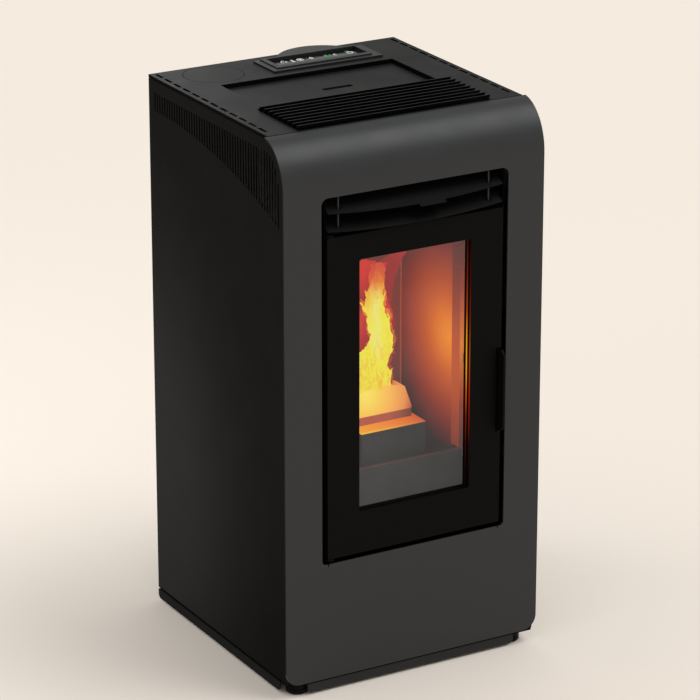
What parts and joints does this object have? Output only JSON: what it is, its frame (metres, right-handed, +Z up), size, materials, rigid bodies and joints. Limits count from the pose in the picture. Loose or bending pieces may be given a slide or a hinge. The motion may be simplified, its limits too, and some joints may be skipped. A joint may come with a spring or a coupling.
{
  "type": "pellet stove",
  "caption": "Compact pellet stove with a rolled front panel, hinged glass door, linked warm air deflector blades, hopper lid, slotted sides and a top control panel.",
  "frame": {"origin": "floor level, under the middle of the object's bounding box", "axes": "+Z up, -Y out of the front with the door, +X to the right seen from the front"},
  "size_m": [0.478, 0.5214, 0.947],
  "materials": {
    "anthracite_panel": "fine matt powder coat",
    "black_panel": "fine matt powder coat",
    "black_top": "satin powder coat",
    "black_cast": "stove paint, fine grain",
    "galvanised": "galvanised sheet, dull",
    "bright_steel": "plain steel",
    "stove_steel": "heat proof paint, matt",
    "firebox_steel": "heat proof paint, dusty with ash",
    "liner_plate": "fire stained, pale ash bloom",
    "pot_iron": "glowing, ash grey",
    "ceramic_glass": "heat proof glass, clear, light haze",
    "screen_glass": "dark gloss screen",
    "black_plastic": "fine moulded grain",
    "rope_seal": "braided glass fibre",
    "soft_seal": "matt silicone",
    "foot_rubber": "moulded, slightly shiny",
    "circuit": "green board",
    "motor_black": "black enamel"
  },
  "bodies": {
    "stove": {"base_frame": "black_panel", "corner_posts": "galvanised", "plinth_front": "black_panel", "plinth_sides": "black_panel", "front_panel": "anthracite_panel", "side_panel_left": "black_panel", "side_panel_right": "black_panel", "back_panel": "black_panel", "top_plate": "black_top", "top_grille": "black_top", "flue_blanking_disc": "black_top", "control_bezel": "black_plastic", "control_display": "screen_glass", "hopper": "galvanised", "auger_tube": "bright_steel", "auger_motor": "motor_black", "feed_chute": "bright_steel", "firebox_shell": "firebox_steel", "fireback": "liner_plate", "side_liners": "liner_plate", "hearth_plate": "firebox_steel", "heat_exchanger_tubes": "bright_steel", "burn_pot_holder": "firebox_steel", "ash_pan": "firebox_steel", "air_intake_pipe": "bright_steel", "igniter": "bright_steel", "air_plenum": "galvanised", "room_fan_housing": "galvanised", "room_fan_motor": "motor_black", "smoke_duct": "galvanised", "exhaust_fan_housing": "galvanised", "exhaust_fan_motor": "motor_black", "flue_spigot": "bright_steel", "hinge_brackets": "stove_steel", "latch_keeper": "stove_steel", "outlet_frame": "stove_steel", "control_board": "circuit", "power_inlet": "black_plastic", "casing_screws": "bright_steel"},
    "door": {"door_frame": "black_cast", "door_hinge_pins": "bright_steel", "door_glass": "ceramic_glass", "glass_tape": "rope_seal", "glass_clips": "bright_steel", "door_gasket": "rope_seal"},
    "handle": {"door_handle": "black_cast"},
    "lid": {"hopper_lid": "black_top", "lid_gasket": "soft_seal"},
    "blade_up": {"upper_blade": "stove_steel"},
    "blade_low": {"lower_blade": "stove_steel"},
    "links": {"blade_links": "bright_steel"},
    "pot": {"burn_pot": "pot_iron"},
    "auger": {"auger_screw": "bright_steel"},
    "impeller": {"exhaust_impeller": "bright_steel"},
    "rotor": {"room_fan_rotor": "bright_steel"},
    "switch": {"power_switch": "black_plastic"},
    "foot_front_left_body": {"foot_front_left": "foot_rubber"},
    "foot_front_right_body": {"foot_front_right": "foot_rubber"},
    "foot_rear_left_body": {"foot_rear_left": "foot_rubber"},
    "foot_rear_right_body": {"foot_rear_right": "foot_rubber"}
  },
  "joints": [
    {"name": "door_hinge", "type": "hinge", "parent": "stove", "child": "door", "pos_m": [-0.154, -0.23725, 0.505], "axis": [0, 0, -1], "range_deg": [0, 110]},
    {"name": "handle_turn", "type": "hinge", "parent": "door", "child": "handle", "pos_m": [0.1585, -0.23625, 0.471], "axis": [0, 0, -1], "range_deg": [0, 25]},
    {"name": "lid_hinge", "type": "hinge", "parent": "stove", "child": "lid", "pos_m": [0, 0.09925, 0.9302], "axis": [-1, 0, 0], "range_deg": [0, 95]},
    {"name": "deflector_tilt", "type": "hinge", "parent": "stove", "child": "blade_up", "pos_m": [0, -0.23045, 0.8303], "axis": [1, 0, 0], "range_deg": [-35, 5]},
    {"name": "lower_deflector_tilt", "type": "hinge", "parent": "stove", "child": "blade_low", "pos_m": [0, -0.23045, 0.8003], "axis": [1, 0, 0], "range_deg": [-35, 5]},
    {"name": "link_swing", "type": "hinge", "parent": "blade_up", "child": "links", "pos_m": [0, -0.23912, 0.82353], "axis": [1, 0, 0], "range_deg": [-5, 35]},
    {"name": "pot_lift", "type": "slide", "parent": "stove", "child": "pot", "axis": [0, 0, 1], "range_m": [0, 0.06]},
    {"name": "auger_spin", "type": "hinge", "parent": "stove", "child": "auger", "pos_m": [0, 0.10725, 0.6385], "axis": [0, -0.7071, 0.7071], "continuous": true},
    {"name": "exhaust_spin", "type": "hinge", "parent": "stove", "child": "impeller", "pos_m": [-0.152, 0.09775, 0.165], "axis": [1, 0, 0], "continuous": true},
    {"name": "room_fan_spin", "type": "hinge", "parent": "stove", "child": "rotor", "pos_m": [0, 0.08875, 0.457], "axis": [1, 0, 0], "continuous": true},
    {"name": "switch_rock", "type": "hinge", "parent": "stove", "child": "switch", "pos_m": [0.181, 0.21825, 0.11], "axis": [1, 0, 0], "range_deg": [-14, 0]},
    {"name": "foot_front_left_turn", "type": "hinge", "parent": "stove", "child": "foot_front_left_body", "pos_m": [-0.203, -0.21625, 0.01], "axis": [0, 0, 1], "continuous": true},
    {"name": "foot_front_right_turn", "type": "hinge", "parent": "stove", "child": "foot_front_right_body", "pos_m": [0.203, -0.21625, 0.01], "axis": [0, 0, 1], "continuous": true},
    {"name": "foot_rear_left_turn", "type": "hinge", "parent": "stove", "child": "foot_rear_left_body", "pos_m": [-0.203, 0.19075, 0.01], "axis": [0, 0, 1], "continuous": true},
    {"name": "foot_rear_right_turn", "type": "hinge", "parent": "stove", "child": "foot_rear_right_body", "pos_m": [0.203, 0.19075, 0.01], "axis": [0, 0, 1], "continuous": true}
  ],
  "couplings": [
    {"joint": "lower_deflector_tilt", "follows": "deflector_tilt", "ratio": 1},
    {"joint": "link_swing", "follows": "deflector_tilt", "ratio": -1}
  ]
}
